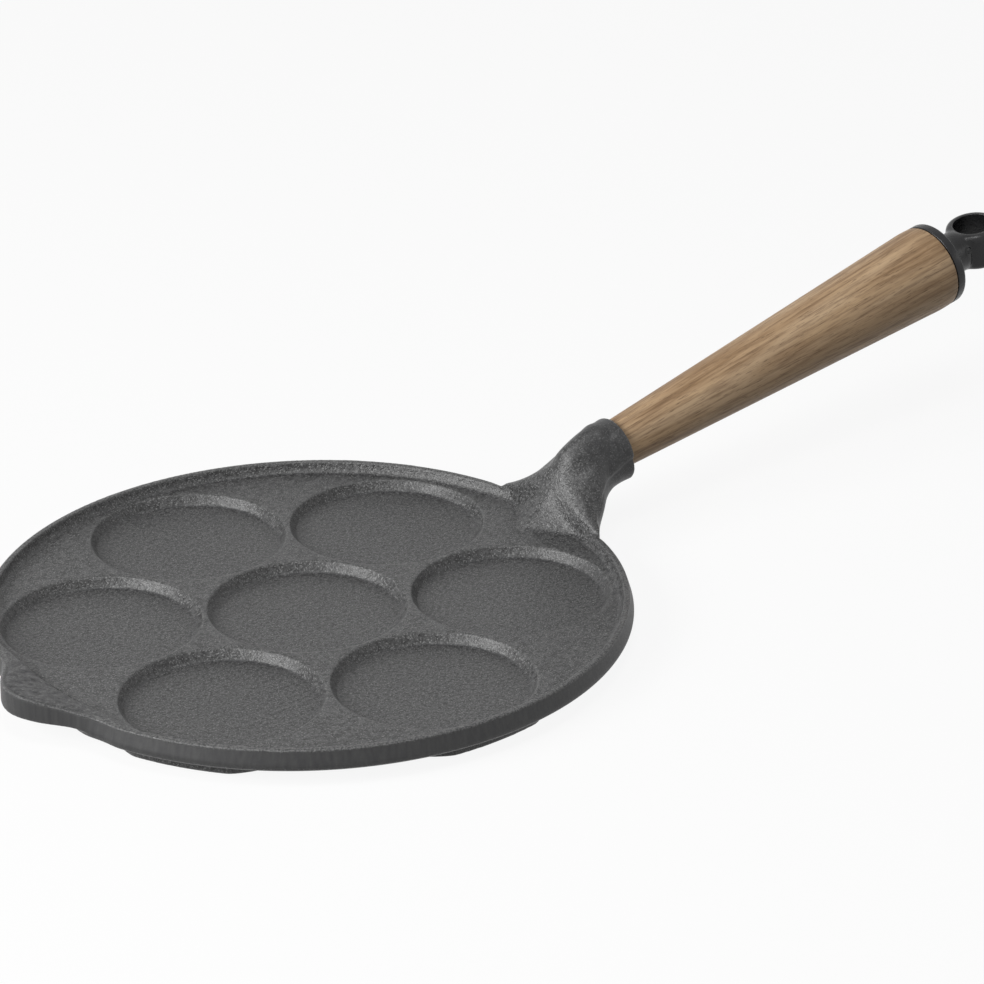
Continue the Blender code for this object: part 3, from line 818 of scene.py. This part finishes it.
def make_casting():
    casting = make_object("iron_casting", fill_disc)
    wells = make_object("wells_tool", fill_wells)
    cut(casting, wells)
    settle(casting)
    neck = make_object("neck_tool", fill_neck)
    socket = make_object("socket_tool", fill_socket)
    socket.matrix_world = axis_matrix(0.0)
    bpy.context.view_layer.update()
    cut(neck, socket)
    settle(neck)
    feet = make_object("feet_tool", fill_feet)
    discard(wells, socket)
    fuse(casting, [neck, feet])
    skin_over(casting, CASTING_VOXEL)
    points = mesh_points(casting.data)
    relax(casting.data, 0.5 * foot_line_weights(points), FILLET_ROUNDS)
    relax(casting.data, 0.5 * neck_weights(points), NECK_SMOOTH_ROUNDS)
    carve_neck(casting.data)
    roughen_lip(casting.data)
    relax(casting.data, np.full(len(points), 0.35), 2)
    mark_casting(casting.data)
    casting.data.name = "iron_casting"
    return casting


# Handle


def grip_radius(distance):
    return GRIP_FRONT_RADIUS + GRIP_TAPER_SHARE * (distance - COLLAR_DISTANCE)


def fill_grip(shape):
    start, end = GRIP_START, GRIP_END_DISTANCE
    roll = end - GRIP_BACK_ROLL
    crown = max(mix(grip_radius(roll), GRIP_BACK_RADIUS, 0.5), grip_radius(roll)) + GRIP_EDGE_ROUND / 2
    edge = GRIP_EDGE_ROUND
    profile = [(BORE_RADIUS, start), (grip_radius(start) - edge, start), (grip_radius(start), start + edge)]
    rings = 60
    for step in range(1, rings + 1):
        place = mix(start + edge, roll, step / rings)
        profile.append((grip_radius(place), place))
    for step in range(1, CORNER_STEPS + 1):
        share = step / CORNER_STEPS
        place = mix(roll, end - edge, share)
        bow = 4 * share * (1 - share) * (crown - grip_radius(roll)) / 2
        profile.append((mix(grip_radius(roll), GRIP_BACK_RADIUS, share ** 2) + bow, place))
    profile += arc((GRIP_BACK_RADIUS - edge, end - edge), edge, 0.0, 90.0, 4)[1:]
    profile.append((BORE_RADIUS, end))
    section = [(radius, place - start) for radius, place in profile]
    turned(shape, section, TURNED_STEPS, closed=True, upright=False)


def fill_rod(shape):
    """The tie rod, threaded at both ends as one helix of rings each."""
    start = COLLAR_DISTANCE - ROD_HOLE_DEPTH + ROD_TIP_GAP
    end = EYE_START + EYE_BORE_DEPTH - ROD_TIP_GAP
    length = end - start
    steps = 32
    rings_each_turn = 10
    rings = []
    count = round(length / THREAD_PITCH * rings_each_turn)
    for number in range(count + 1):
        place = length * number / count
        threaded = place < THREAD_LENGTHS[0] or place > length - THREAD_LENGTHS[1]
        tip = min(place, length - place, THREAD_DEPTH) / THREAD_DEPTH
        ring = []
        for step in range(steps):
            angle = math.tau * step / steps
            wave = abs(math.remainder(place / THREAD_PITCH - step / steps, 1.0)) * 2
            depth = THREAD_DEPTH * min(max(wave * 1.3 - 0.15, 0.0), 1.0) if threaded else 0.1 * MM
            radius = ROD_RADIUS - depth - (1 - tip) * 0.5 * MM
            ring.append(Vector((place, radius * math.cos(angle), radius * math.sin(angle))))
        rings.append(ring)
    join_rings(shape, rings)


def fill_washer(shape):
    edge = WASHER_EDGE_ROUND
    front = edge / 3
    profile = [(BORE_RADIUS, 0.0)]
    profile += arc((WASHER_RADIUS - front, front), front, -90.0, 0.0, 4)
    profile += arc((WASHER_RADIUS - edge, WASHER_THICKNESS - edge), edge, 0.0, 90.0, CORNER_STEPS)
    profile.append((BORE_RADIUS, WASHER_THICKNESS))
    turned(shape, profile, TURNED_STEPS, closed=True, upright=False)


def fill_eye_ring(shape):
    """The ring about its own hole: highest at the inner edge, rounded off outwards."""
    edge = EYE_EDGE_ROUND
    top = EYE_HALF_HEIGHT
    lip = 0.25 * MM
    profile = arc((EYE_HOLE_RADIUS + lip, lip - top), lip, -90.0, -180.0, 4)
    profile += arc((EYE_HOLE_RADIUS + lip, top - lip), lip, 180.0, 90.0, 4)
    profile += arc((EYE_OUTER_RADIUS - edge, top - edge), edge, 90.0, 0.0, CORNER_STEPS)
    profile += arc((EYE_OUTER_RADIUS - edge, edge - top), edge, 0.0, -90.0, CORNER_STEPS)
    turned(shape, profile, TURNED_STEPS, closed=True)
    bmesh.ops.translate(shape, verts=shape.verts[:], vec=Vector((EYE_RING_OFFSET, 0.0, 0.0)))


def fill_eye_stem(shape):
    """The flared stem between the washer and the ring."""
    end = EYE_STEM_LENGTH + EYE_STEM_SINK
    profile = [(EYE_STEM_BASE_RADIUS - 0.4 * MM, 0.0), (EYE_STEM_BASE_RADIUS, 0.4 * MM)]
    steps = 14
    for step in range(1, steps + 1):
        share = step / steps
        radius = mix(EYE_STEM_RADIUS, EYE_STEM_BASE_RADIUS, (1 - share) ** 2)
        profile.append((radius, mix(0.4 * MM, EYE_FLARE_LENGTH, share)))
    profile.append((EYE_STEM_RADIUS, end))
    turned(shape, profile, TURNED_STEPS, upright=False)


def fill_eye_bore(shape):
    turned(shape, [(BORE_RADIUS, -CUT_OVERRUN), (BORE_RADIUS, EYE_BORE_DEPTH)], 48, upright=False)


def fill_eye_hole(shape):
    """Keeps the ring's hole clear of the stem."""
    reach = EYE_HALF_HEIGHT + CUT_OVERRUN
    turned(shape, [(EYE_HOLE_RADIUS, -reach), (EYE_HOLE_RADIUS, reach)], TURNED_STEPS)
    bmesh.ops.translate(shape, verts=shape.verts[:], vec=Vector((EYE_RING_OFFSET, 0.0, 0.0)))


def raise_boss(mesh):
    """A small round boss with a dimple, on one side of the stem."""
    points, normals = mesh_points(mesh), mesh_normals(mesh)
    place = np.array(EYE_BOSS)
    gap = np.hypot(points[:, 0] - place[0], points[:, 2] - place[2])
    beside = points[:, 1] < EYE_BOSS_SIDE
    disc = 1 / (1 + np.exp((gap - EYE_BOSS_RADIUS) / EYE_BOSS_SOFTNESS))
    dimple = 1 / (1 + np.exp((gap - EYE_DIMPLE_RADIUS) / EYE_BOSS_SOFTNESS))
    points += normals * (beside * (EYE_BOSS_HEIGHT_MM * disc - EYE_DIMPLE_DEPTH_MM * dimple) * MM)[:, None]
    set_mesh_points(mesh, points)


def make_eye():
    eye = make_object("black_eye", fill_eye_ring)
    stem = make_object("eye_stem_tool", fill_eye_stem)
    bore = make_object("eye_bore_tool", fill_eye_bore)
    hole = make_object("eye_hole_tool", fill_eye_hole)
    cut(stem, bore)
    settle(stem)
    cut(stem, hole)
    settle(stem)
    discard(bore, hole)
    fuse(eye, [stem])
    skin_over(eye, EYE_VOXEL)
    points = mesh_points(eye.data)
    join = np.clip(1 - np.abs(points[:, 0] - (EYE_RING_OFFSET - EYE_OUTER_RADIUS)) / EYE_JOIN_REACH, 0.0, 1.0)
    inside = np.hypot(points[:, 0] - EYE_RING_OFFSET, points[:, 1]) < EYE_HOLE_RADIUS + EYE_HOLE_MARGIN
    join[inside] = 0.0
    relax(eye.data, 0.5 * join, EYE_JOIN_ROUNDS)
    raise_boss(eye.data)
    relax(eye.data, np.full(len(points), 0.4), 2)
    # Convex edges, which black_iron makes paler: worn metal and a painted edge highlight
    mark(eye.data, "edge", (convexity(eye.data) - 0.004 * MM) / (0.02 * MM))
    eye.data.transform(axis_matrix(EYE_START))
    return eye


# Materials


class Shader:
    """A small helper for building one node material."""

    def __init__(self, name):
        self.material = bpy.data.materials.new(name)
        self.material.use_nodes = True
        self.tree = self.material.node_tree
        self.surface = self.tree.nodes["Principled BSDF"]
        self.place = self.add("ShaderNodeTexCoord").outputs["Object"]

    def add(self, kind, **settings):
        node = self.tree.nodes.new(kind)
        for key, value in settings.items():
            setattr(node, key, value)
        return node

    def link(self, source, target):
        self.tree.links.new(source, target)

    def mask(self, name):
        """A value from 0 to 1 that the mesh carries at its points."""
        return self.add("ShaderNodeAttribute", attribute_name=name).outputs["Fac"]

    def along_handle(self):
        """Places measured along and across the handle's axis."""
        node = self.add("ShaderNodeMapping", vector_type="TEXTURE")
        node.inputs["Location"].default_value = (0.0, 0.0, AXIS_START)
        node.inputs["Rotation"].default_value = (0.0, -HANDLE_RISE, 0.0)
        self.link(self.place, node.inputs["Vector"])
        return node.outputs["Vector"]

    def stretch(self, scale, offset=(0.0, 0.0, 0.0)):
        node = self.add("ShaderNodeMapping")
        node.inputs["Scale"].default_value = scale
        node.inputs["Location"].default_value = offset
        self.link(self.place, node.inputs["Vector"])
        return node.outputs["Vector"]

    def noise(self, size, detail=2.0, roughness=0.5, vector=None, distortion=0.0):
        """Noise whose features are about size metres across."""
        node = self.add("ShaderNodeTexNoise")
        self.link(vector if vector is not None else self.place, node.inputs["Vector"])
        node.inputs["Scale"].default_value = 1.0 / size
        node.inputs["Detail"].default_value = detail
        node.inputs["Roughness"].default_value = roughness
        node.inputs["Distortion"].default_value = distortion
        return node.outputs["Fac"]

    def spread(self, value, low, high, to_low=0.0, to_high=1.0):
        node = self.add("ShaderNodeMapRange")
        self.link(value, node.inputs["Value"])
        node.inputs["From Min"].default_value = low
        node.inputs["From Max"].default_value = high
        node.inputs["To Min"].default_value = to_low
        node.inputs["To Max"].default_value = to_high
        return node.outputs["Result"]

    def sum(self, first, second, operation="ADD"):
        node = self.add("ShaderNodeMath", operation=operation)
        for socket, value in zip(node.inputs, (first, second)):
            if isinstance(value, (int, float)):
                socket.default_value = value
            else:
                self.link(value, socket)
        return node.outputs["Value"]

    def blend(self, share, first, second):
        """A colour between two others, each a tuple or a socket."""
        node = self.add("ShaderNodeMix", data_type="RGBA")
        self.link(share, node.inputs["Factor"])
        for key, value in (("A", first), ("B", second)):
            socket = [s for s in node.inputs if s.name == key and s.type == "RGBA"][0]
            if isinstance(value, tuple):
                socket.default_value = (*value, 1.0)
            else:
                self.link(value, socket)
        return [s for s in node.outputs if s.type == "RGBA"][0]

    def bump(self, height, depth, strength=1.0, under=None):
        node = self.add("ShaderNodeBump")
        self.link(height, node.inputs["Height"])
        node.inputs["Distance"].default_value = depth
        node.inputs["Strength"].default_value = strength
        if under is not None:
            self.link(under, node.inputs["Normal"])
        return node.outputs["Normal"]


def seasoned_iron():
    """Sand-cast iron: pebbled and oiled nearly black, with a ground rim and wall, worn edges with a painted
    highlight, and painted shade in its creases and on the lip's shelf.
    """
    s = Shader("seasoned_iron")
    pebble = s.noise(1.5 * MM, 3.0, 0.68)
    grit = s.noise(0.60 * MM, 1.0, 0.5)
    patch = s.noise(14 * MM, 3.0, 0.55)
    speck = s.noise(0.70 * MM, 2.0, 0.6)
    brushed = s.noise(1.6 * MM, 2.0, 0.5, s.stretch((1.0, 1.0, 0.12)))
    top, wall = s.mask("rim_top"), s.mask("outer_wall")
    edge, corner = s.mask("edge"), s.mask("corner")
    mottle = s.spread(patch, 0.3, 0.7)
    dark = s.blend(mottle, (0.005, 0.005, 0.005), (0.008, 0.008, 0.008))
    light = s.blend(mottle, (0.054, 0.054, 0.055), (0.064, 0.064, 0.064))
    cast = s.blend(s.spread(pebble, 0.40, 0.62), dark, light)
    cast = s.blend(s.spread(grit, 0.58, 0.66, 0.0, 0.9), cast, (0.170, 0.170, 0.169))
    # Painted shade: the lip's shelf darkened in blotchy mottles
    shelf_shade_mottle = s.spread(s.noise(2.8 * MM, 2.0, 0.6), 0.42, 0.58)
    cast = s.blend(s.sum(shelf_shade_mottle, s.mask("shelf"), "MULTIPLY"), cast, (0.004, 0.004, 0.005))
    # Darker on the neck towards the collar, where it is marked polish
    cast = s.blend(s.sum(s.mask("polish"), 0.6, "MULTIPLY"), cast, (0.012, 0.012, 0.013))
    # Painted shade in concave creases
    cast = s.blend(s.sum(corner, 0.6, "MULTIPLY"), cast, (0.016, 0.016, 0.017))
    ground = s.blend(s.spread(brushed, 0.3, 0.7), (0.018, 0.018, 0.019), (0.034, 0.034, 0.034))
    colour = s.blend(wall, cast, ground)
    bright = s.blend(s.spread(speck, 0.42, 0.58), (0.014, 0.014, 0.015), (0.100, 0.100, 0.099))
    colour = s.blend(top, colour, bright)
    # Paler convex edges: worn metal and a painted edge highlight
    wear_and_edge_highlight = s.sum(edge, s.spread(speck, 0.35, 0.6, 0.0, 0.4), "MULTIPLY")
    colour = s.blend(wear_and_edge_highlight, colour, (0.120, 0.120, 0.119))
    s.link(colour, s.surface.inputs["Base Color"])
    rough = s.sum(s.spread(grit, 0.3, 0.7, 0.36, 0.48), s.sum(wall, 0.10, "MULTIPLY"))
    rough = s.sum(rough, s.sum(s.mask("polish"), 0.04, "MULTIPLY"))
    s.link(rough, s.surface.inputs["Roughness"])
    s.surface.inputs["Specular IOR Level"].default_value = 0.50
    smooth = s.spread(s.sum(wall, s.mask("polish"), "MAXIMUM"), 0.0, 1.0, 1.0, 0.12)
    coarse = s.bump(s.sum(pebble, smooth, "MULTIPLY"), 0.30 * MM, 1.0)
    fine = s.bump(s.sum(grit, smooth, "MULTIPLY"), 0.13 * MM, 1.0, coarse)
    s.link(fine, s.surface.inputs["Normal"])
    return s.material


def black_iron():
    """Smaller iron castings, tumbled smoother and almost black, with worn edges that carry a painted highlight."""
    s = Shader("black_iron")
    pebble = s.noise(1.1 * MM, 2.0, 0.5)
    patch = s.noise(5 * MM, 2.0, 0.5)
    colour = s.blend(s.spread(patch, 0.3, 0.7), (0.006, 0.006, 0.007), (0.013, 0.013, 0.014))
    # Paler convex edges: worn metal and a painted edge highlight
    colour = s.blend(s.sum(s.mask("edge"), 0.5, "MULTIPLY"), colour, (0.045, 0.045, 0.045))
    s.link(colour, s.surface.inputs["Base Color"])
    s.link(s.spread(pebble, 0.3, 0.7, 0.24, 0.38), s.surface.inputs["Roughness"])
    s.surface.inputs["Specular IOR Level"].default_value = 0.35
    s.link(s.bump(pebble, 0.10 * MM, 0.7), s.surface.inputs["Normal"])
    return s.material


def walnut():
    """Oiled walnut with its grain along the handle, which is the piece's own X."""
    s = Shader("walnut")
    s.place = s.along_handle()
    broad = s.noise(9 * MM, 2.0, 0.5, s.stretch((0.07, 1.0, 1.0)), 0.8)
    figure = s.noise(3.6 * MM, 3.0, 0.6, s.stretch((0.030, 1.0, 1.0)), 0.3)
    streak = s.noise(1.1 * MM, 3.0, 0.6, s.stretch((0.018, 1.0, 1.0)))
    pores = s.noise(0.36 * MM, 2.0, 0.6, s.stretch((0.050, 1.0, 1.0)))
    warm = s.blend(s.spread(figure, 0.36, 0.64), (0.270, 0.166, 0.086), (0.505, 0.348, 0.205))
    pale = s.blend(s.spread(broad, 0.40, 0.66), warm, (0.545, 0.395, 0.252))
    warm = s.blend(s.spread(broad, 0.30, 0.62, 0.0, 0.75), warm, pale)
    streaked = s.blend(s.spread(streak, 0.48, 0.66, 0.0, 0.60), warm, (0.150, 0.085, 0.044))
    colour = s.blend(s.spread(pores, 0.58, 0.70, 0.0, 0.65), streaked, (0.095, 0.054, 0.031))
    s.link(colour, s.surface.inputs["Base Color"])
    s.link(s.spread(pores, 0.35, 0.75, 0.44, 0.62), s.surface.inputs["Roughness"])
    s.surface.inputs["Specular IOR Level"].default_value = 0.3
    s.link(s.bump(pores, 0.06 * MM, -0.6), s.surface.inputs["Normal"])
    return s.material


def zinc_steel():
    s = Shader("zinc_steel")
    streak = s.noise(0.6 * MM, 2.0, 0.5, s.stretch((1.0, 0.2, 0.2)))
    colour = s.blend(s.spread(streak, 0.3, 0.7), (0.42, 0.43, 0.45), (0.60, 0.61, 0.63))
    s.link(colour, s.surface.inputs["Base Color"])
    s.link(s.spread(streak, 0.3, 0.7, 0.26, 0.42), s.surface.inputs["Roughness"])
    s.surface.inputs["Metallic"].default_value = 1.0
    return s.material


# Stage


def shown_rays(tree):
    """1 for rays that show the background: from the camera, in gloss and through glass."""
    path = tree.nodes.new("ShaderNodeLightPath")
    either = path.outputs["Is Camera Ray"]
    for name in ("Is Glossy Ray", "Is Transmission Ray"):
        node = tree.nodes.new("ShaderNodeMath")
        node.operation = "MAXIMUM"
        tree.links.new(either, node.inputs[0])
        tree.links.new(path.outputs[name], node.inputs[1])
        either = node.outputs["Value"]
    return either


def make_floor():
    """A large pale floor, white where it is seen, which keeps a faint shadow of the object."""
    mesh = bpy.data.meshes.new("floor")
    half = FLOOR_HALF_SIDE
    corners = [(-half, -half, 0), (half, -half, 0), (half, half, 0), (-half, half, 0)]
    mesh.from_pydata(corners, [], [(0, 1, 2, 3)])
    floor = bpy.data.objects.new("floor", mesh)
    bpy.context.scene.collection.objects.link(floor)
    s = Shader("pale_floor")
    shown = shown_rays(s.tree)
    colour = s.blend(shown, FLOOR_GREY, FLOOR_PALE)
    s.link(colour, s.surface.inputs["Base Color"])
    s.surface.inputs["Roughness"].default_value = 0.9
    s.surface.inputs["Specular IOR Level"].default_value = 0.0
    glow = s.add("ShaderNodeEmission")
    glow.inputs["Color"].default_value = (1.0, 1.0, 1.0, 1.0)
    glow.inputs["Strength"].default_value = FLOOR_GLOW
    both = s.add("ShaderNodeMixShader")
    share = s.sum(shown, FLOOR_WHITE_SHARE, "MULTIPLY")
    s.link(share, both.inputs["Fac"])
    s.link(s.surface.outputs["BSDF"], both.inputs[1])
    s.link(glow.outputs["Emission"], both.inputs[2])
    s.link(both.outputs["Shader"], s.tree.nodes["Material Output"].inputs["Surface"])
    floor.data.materials.append(s.material)


def make_world():
    """White where it is seen, in gloss and through glass too, and a dim room that lights the object."""
    world = bpy.data.worlds.new("studio")
    bpy.context.scene.world = world
    world.use_nodes = True
    tree = world.node_tree
    back = tree.nodes["Background"]
    strength = mix_values(tree, shown_rays(tree), ROOM_LEVEL, WHITE_LEVEL)
    tree.links.new(strength, back.inputs["Strength"])
    back.inputs["Color"].default_value = (1.0, 1.0, 1.0, 1.0)


def mix_values(tree, share, first, second):
    """A value between two others, each a number or a socket."""
    node = tree.nodes.new("ShaderNodeMix")
    node.data_type = "FLOAT"
    tree.links.new(share, node.inputs[0])
    for socket, value in ((node.inputs[2], first), (node.inputs[3], second)):
        if isinstance(value, float):
            socket.default_value = value
        else:
            tree.links.new(value, socket)
    return node.outputs[0]


def add_softbox(name, azimuth, elevation, distance, width, height, watts, target):
    """A lamp round the object: azimuth and elevation in degrees from its target."""
    light = bpy.data.lights.new(name, "AREA")
    light.shape = "RECTANGLE"
    light.size = width
    light.size_y = height
    light.energy = watts
    lamp = bpy.data.objects.new(name, light)
    bpy.context.scene.collection.objects.link(lamp)
    turn, lift = math.radians(azimuth), math.radians(elevation)
    away = Vector((math.cos(lift) * math.cos(turn), math.cos(lift) * math.sin(turn), math.sin(lift)))
    lamp.location = target + away * distance
    lamp.rotation_euler = away.to_track_quat("Z", "Y").to_euler()


def make_lights():
    for name, azimuth, elevation, distance, width, height, watts in SOFTBOXES:
        add_softbox(name, azimuth, elevation, distance, width, height, watts, LIGHT_TARGET)


def make_camera():
    away = Vector((
        math.cos(CAMERA_ELEVATION) * math.cos(CAMERA_AZIMUTH),
        math.cos(CAMERA_ELEVATION) * math.sin(CAMERA_AZIMUTH),
        math.sin(CAMERA_ELEVATION),
    ))
    level = (-away).cross(Vector((0.0, 0.0, 1.0))).normalized()
    upright = level.cross(-away)
    right = math.cos(CAMERA_ROLL) * level + math.sin(CAMERA_ROLL) * upright
    up = -math.sin(CAMERA_ROLL) * level + math.cos(CAMERA_ROLL) * upright
    lens = bpy.data.cameras.new("camera")
    lens.sensor_width = SENSOR_MM
    lens.lens = FOCAL_PIXELS / PHOTO_SIDE * SENSOR_MM
    lens.clip_start = 0.05
    lens.clip_end = 20.0
    camera = bpy.data.objects.new("camera", lens)
    bpy.context.scene.collection.objects.link(camera)
    placed = Matrix((right, up, away)).transposed().to_4x4()
    placed.translation = CAMERA_TARGET + CAMERA_DISTANCE * away
    camera.matrix_world = placed
    bpy.context.scene.camera = camera


def finish_piece(piece, material, body, node):
    piece.data.materials.clear()
    piece.data.materials.append(material)
    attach(piece, body)
    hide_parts(node)


def main():
    iron, black, wood, steel = seasoned_iron(), black_iron(), walnut(), zinc_steel()
    casting = make_casting()
    finish_piece(casting, iron, "pan", "pan_casting")
    grip = make_object("walnut_grip", fill_grip, 50.0)
    grip.data.transform(axis_matrix(GRIP_START))
    finish_piece(grip, wood, "pan", "wood_grip")
    rod = make_object("threaded_rod", fill_rod, 50.0)
    rod.data.transform(axis_matrix(COLLAR_DISTANCE - ROD_HOLE_DEPTH + ROD_TIP_GAP))
    finish_piece(rod, steel, "pan", "tie_rod")
    washer = make_object("black_washer", fill_washer)
    washer.data.transform(axis_matrix(WASHER_START))
    finish_piece(washer, black, "washer", "end_washer")
    finish_piece(make_eye(), black, "eye", "hanging_eye")
    make_floor()
    make_world()
    make_lights()
    make_camera()
    bpy.context.scene.view_settings.view_transform = "Standard"


main()
